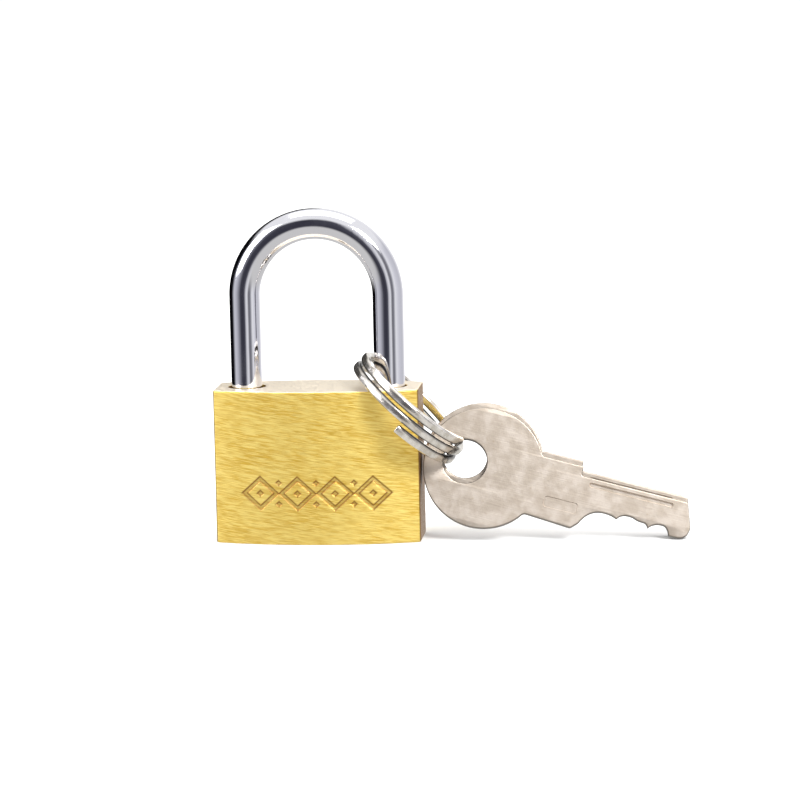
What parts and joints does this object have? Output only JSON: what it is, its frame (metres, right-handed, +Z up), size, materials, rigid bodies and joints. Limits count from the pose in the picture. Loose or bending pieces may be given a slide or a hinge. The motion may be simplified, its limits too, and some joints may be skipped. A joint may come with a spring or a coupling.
{
  "type": "padlock with keys",
  "caption": "Small brass padlock with a chromed U shackle locked shut, a split ring round the heel leg and flat keys hanging from the ring.",
  "frame": {"origin": "middle of the body's flat top face, half way between the shackle's legs", "axes": "+Z up along the shackle's legs, +X towards the heel leg that carries the ring, -Y out of the front face"},
  "size_m": [0.0691, 0.02, 0.0486],
  "materials": {
    "brass_body": "lengthwise brushed",
    "turned_brass": "turned",
    "chrome_shackle": "polished",
    "nickel_keys": "tumbled nickel plate",
    "nickel_ring": "bright nickel plate",
    "spring_steel": "drawn wire"
  },
  "bodies": {
    "housing": {"lock_body": "brass_body", "heel_pin": "spring_steel", "plug_pin": "spring_steel", "latch_bore_cap": "turned_brass", "latch_spring": "spring_steel", "shackle_spring": "spring_steel", "pin_spring_1": "spring_steel", "pin_spring_2": "spring_steel", "pin_spring_3": "spring_steel", "pin_spring_4": "spring_steel", "chamber_cap_1": "turned_brass", "chamber_cap_2": "turned_brass", "chamber_cap_3": "turned_brass", "chamber_cap_4": "turned_brass"},
    "plug": {"cylinder_plug": "turned_brass"},
    "latch_bar": {"latch": "turned_brass"},
    "shackle": {"shackle": "chrome_shackle"},
    "ring": {"key_ring": "nickel_ring"},
    "front_key": {"key_front": "nickel_keys"},
    "rear_key": {"key_rear": "nickel_keys"},
    "key_pin_1": {"key_pin_1": "turned_brass"},
    "key_pin_2": {"key_pin_2": "turned_brass"},
    "key_pin_3": {"key_pin_3": "turned_brass"},
    "key_pin_4": {"key_pin_4": "turned_brass"},
    "driver_pin_1": {"driver_pin_1": "turned_brass"},
    "driver_pin_2": {"driver_pin_2": "turned_brass"},
    "driver_pin_3": {"driver_pin_3": "turned_brass"},
    "driver_pin_4": {"driver_pin_4": "turned_brass"}
  },
  "joints": [
    {"name": "plug_turn", "type": "hinge", "parent": "housing", "child": "plug", "pos_m": [0, 0, -0.0139], "axis": [0, 0, 1], "range_deg": [0, 90]},
    {"name": "latch_slide", "type": "slide", "parent": "housing", "child": "latch_bar", "axis": [1, 0, 0], "range_m": [0, 0.00227], "deforming": ["latch_spring"]},
    {"name": "shackle_lift", "type": "slide", "parent": "housing", "child": "shackle", "axis": [0, 0, 1], "range_m": [0, 0.0066], "deforming": ["shackle_spring"]},
    {"name": "ring_tilt", "type": "hinge", "parent": "shackle", "child": "ring", "pos_m": [0.0078, 0, 0.0035], "axis": [0, -1, 0], "range_deg": [0, 35]},
    {"name": "front_key_swing", "type": "hinge", "parent": "ring", "child": "front_key", "pos_m": [0.02139, -0.00101, -0.01115], "axis": [0.069, -0.9613, 0.2669], "range_deg": [0, 28]},
    {"name": "rear_key_swing", "type": "hinge", "parent": "ring", "child": "rear_key", "pos_m": [0.02128, 0.00101, -0.01072], "axis": [0.069, -0.9613, 0.2669], "range_deg": [0, 28]},
    {"name": "key_pin_1_slide", "type": "slide", "parent": "plug", "child": "key_pin_1", "axis": [1, 0, 0], "range_m": [0, 0.0009]},
    {"name": "key_pin_2_slide", "type": "slide", "parent": "plug", "child": "key_pin_2", "axis": [1, 0, 0], "range_m": [0, 0.0009]},
    {"name": "key_pin_3_slide", "type": "slide", "parent": "plug", "child": "key_pin_3", "axis": [1, 0, 0], "range_m": [0, 0.0009]},
    {"name": "key_pin_4_slide", "type": "slide", "parent": "plug", "child": "key_pin_4", "axis": [1, 0, 0], "range_m": [0, 0.0009]},
    {"name": "driver_pin_1_slide", "type": "slide", "parent": "housing", "child": "driver_pin_1", "axis": [-1, 0, 0], "range_m": [0, 0.0015], "stiffness_N_per_m": 100, "springref_m": -0.001, "deforming": ["pin_spring_1"]},
    {"name": "driver_pin_2_slide", "type": "slide", "parent": "housing", "child": "driver_pin_2", "axis": [-1, 0, 0], "range_m": [0, 0.0015], "stiffness_N_per_m": 100, "springref_m": -0.001, "deforming": ["pin_spring_2"]},
    {"name": "driver_pin_3_slide", "type": "slide", "parent": "housing", "child": "driver_pin_3", "axis": [-1, 0, 0], "range_m": [0, 0.0015], "stiffness_N_per_m": 100, "springref_m": -0.001, "deforming": ["pin_spring_3"]},
    {"name": "driver_pin_4_slide", "type": "slide", "parent": "housing", "child": "driver_pin_4", "axis": [-1, 0, 0], "range_m": [0, 0.0015], "stiffness_N_per_m": 100, "springref_m": -0.001, "deforming": ["pin_spring_4"]}
  ],
  "couplings": [
    {"joint": "plug_turn", "follows": "shackle_lift", "rad_per_m": 237.96},
    {"joint": "latch_slide", "follows": "shackle_lift", "ratio": 0.34284}
  ]
}
